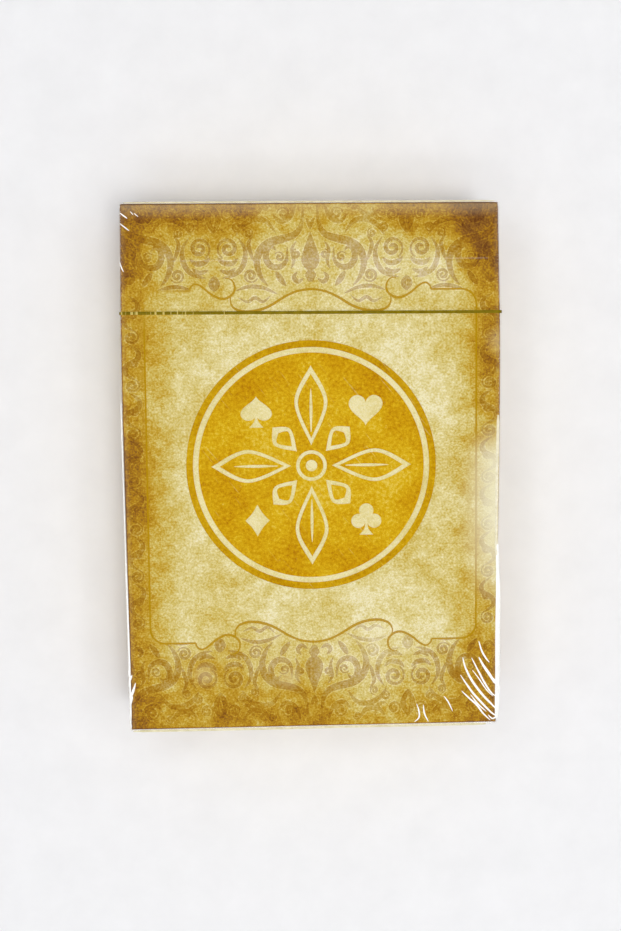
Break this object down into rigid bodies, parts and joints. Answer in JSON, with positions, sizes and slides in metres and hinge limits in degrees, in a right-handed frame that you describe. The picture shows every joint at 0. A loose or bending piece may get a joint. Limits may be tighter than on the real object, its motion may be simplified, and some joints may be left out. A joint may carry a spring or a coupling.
{
  "type": "playing card deck",
  "caption": "Sealed deck of playing cards: cards in a printed tuck carton with a hinged lid, wrapped in clear film that a tear tape opens.",
  "frame": {"origin": "middle of the wrapped deck's back face, on the surface that it lies on", "axes": "+X across the front face, +Y towards the tuck lid, +Z out of the front face"},
  "size_m": [0.066, 0.0932, 0.0198],
  "materials": {
    "printed_board": "satin print",
    "plain_board": "matte board",
    "card_stock": "coated card",
    "film": "clear gloss",
    "tear_tape": "gloss"
  },
  "bodies": {
    "carton": {"front_panel": "printed_board", "back_panel": "printed_board", "left_side_panel": "printed_board", "right_side_panel": "printed_board", "glue_flap": "plain_board", "bottom_outer_panel": "printed_board", "bottom_inner_panel": "plain_board", "bottom_dust_flaps": "plain_board"},
    "lid": {"lid_panel": "printed_board"},
    "tongue": {"tuck_tongue": "plain_board"},
    "dust_left": {"dust_flap_left": "plain_board"},
    "dust_right": {"dust_flap_right": "plain_board"},
    "deck": {"ace_of_spades": "card_stock", "two_of_spades": "card_stock", "three_of_spades": "card_stock", "four_of_spades": "card_stock", "five_of_spades": "card_stock", "six_of_spades": "card_stock", "seven_of_spades": "card_stock", "eight_of_spades": "card_stock", "nine_of_spades": "card_stock", "ten_of_spades": "card_stock", "ace_of_diamonds": "card_stock", "two_of_diamonds": "card_stock", "three_of_diamonds": "card_stock", "four_of_diamonds": "card_stock", "five_of_diamonds": "card_stock", "six_of_diamonds": "card_stock", "seven_of_diamonds": "card_stock", "eight_of_diamonds": "card_stock", "nine_of_diamonds": "card_stock", "ten_of_diamonds": "card_stock", "ace_of_clubs": "card_stock", "two_of_clubs": "card_stock", "three_of_clubs": "card_stock", "four_of_clubs": "card_stock", "five_of_clubs": "card_stock", "six_of_clubs": "card_stock", "seven_of_clubs": "card_stock", "eight_of_clubs": "card_stock", "nine_of_clubs": "card_stock", "ten_of_clubs": "card_stock", "ace_of_hearts": "card_stock", "two_of_hearts": "card_stock", "three_of_hearts": "card_stock", "four_of_hearts": "card_stock", "five_of_hearts": "card_stock", "six_of_hearts": "card_stock", "seven_of_hearts": "card_stock", "eight_of_hearts": "card_stock", "nine_of_hearts": "card_stock", "ten_of_hearts": "card_stock", "court_cards_of_spades": "card_stock", "court_cards_of_diamonds": "card_stock", "court_cards_of_clubs": "card_stock", "court_cards_of_hearts": "card_stock", "jokers": "card_stock"},
    "cap": {"wrap_cap": "film"},
    "tape": {"tear_tape": "tear_tape"},
    "sleeve": {"wrap_sleeve": "film"}
  },
  "joints": [
    {"name": "cap_lift", "type": "slide", "parent": "carton", "child": "cap", "axis": [0, 1, 0], "range_m": [0, 0.08]},
    {"name": "tape_lift", "type": "slide", "parent": "carton", "child": "tape", "axis": [0, 1, 0], "range_m": [0, 0.064]},
    {"name": "lid_hinge", "type": "hinge", "parent": "carton", "child": "lid", "pos_m": [0, 0.04612, 0.01954], "axis": [1, 0, 0], "range_deg": [0, 140]},
    {"name": "tongue_fold", "type": "hinge", "parent": "lid", "child": "tongue", "pos_m": [0, 0.04572, 0.00245], "axis": [1, 0, 0], "range_deg": [-61.6, 0]},
    {"name": "dust_left_hinge", "type": "hinge", "parent": "carton", "child": "dust_left", "pos_m": [-0.03272, 0.04562, 0.00989], "axis": [0, 0, 1], "range_deg": [0, 40]},
    {"name": "dust_right_hinge", "type": "hinge", "parent": "carton", "child": "dust_right", "pos_m": [0.03272, 0.04562, 0.00989], "axis": [0, 0, -1], "range_deg": [0, 40]},
    {"name": "deck_slide", "type": "slide", "parent": "carton", "child": "deck", "axis": [0, 1, 0], "range_m": [0, 0.0009]},
    {"name": "sleeve_slide", "type": "slide", "parent": "carton", "child": "sleeve", "axis": [0, -1, 0], "range_m": [0, 0.08]}
  ],
  "couplings": [
    {"joint": "tape_lift", "follows": "cap_lift", "ratio": 0.8},
    {"joint": "lid_hinge", "follows": "cap_lift", "rad_per_m": 30.543},
    {"joint": "tongue_fold", "follows": "cap_lift", "rad_per_m": -13.439},
    {"joint": "dust_left_hinge", "follows": "cap_lift", "rad_per_m": 8.7266},
    {"joint": "dust_right_hinge", "follows": "cap_lift", "rad_per_m": 8.7266}
  ]
}
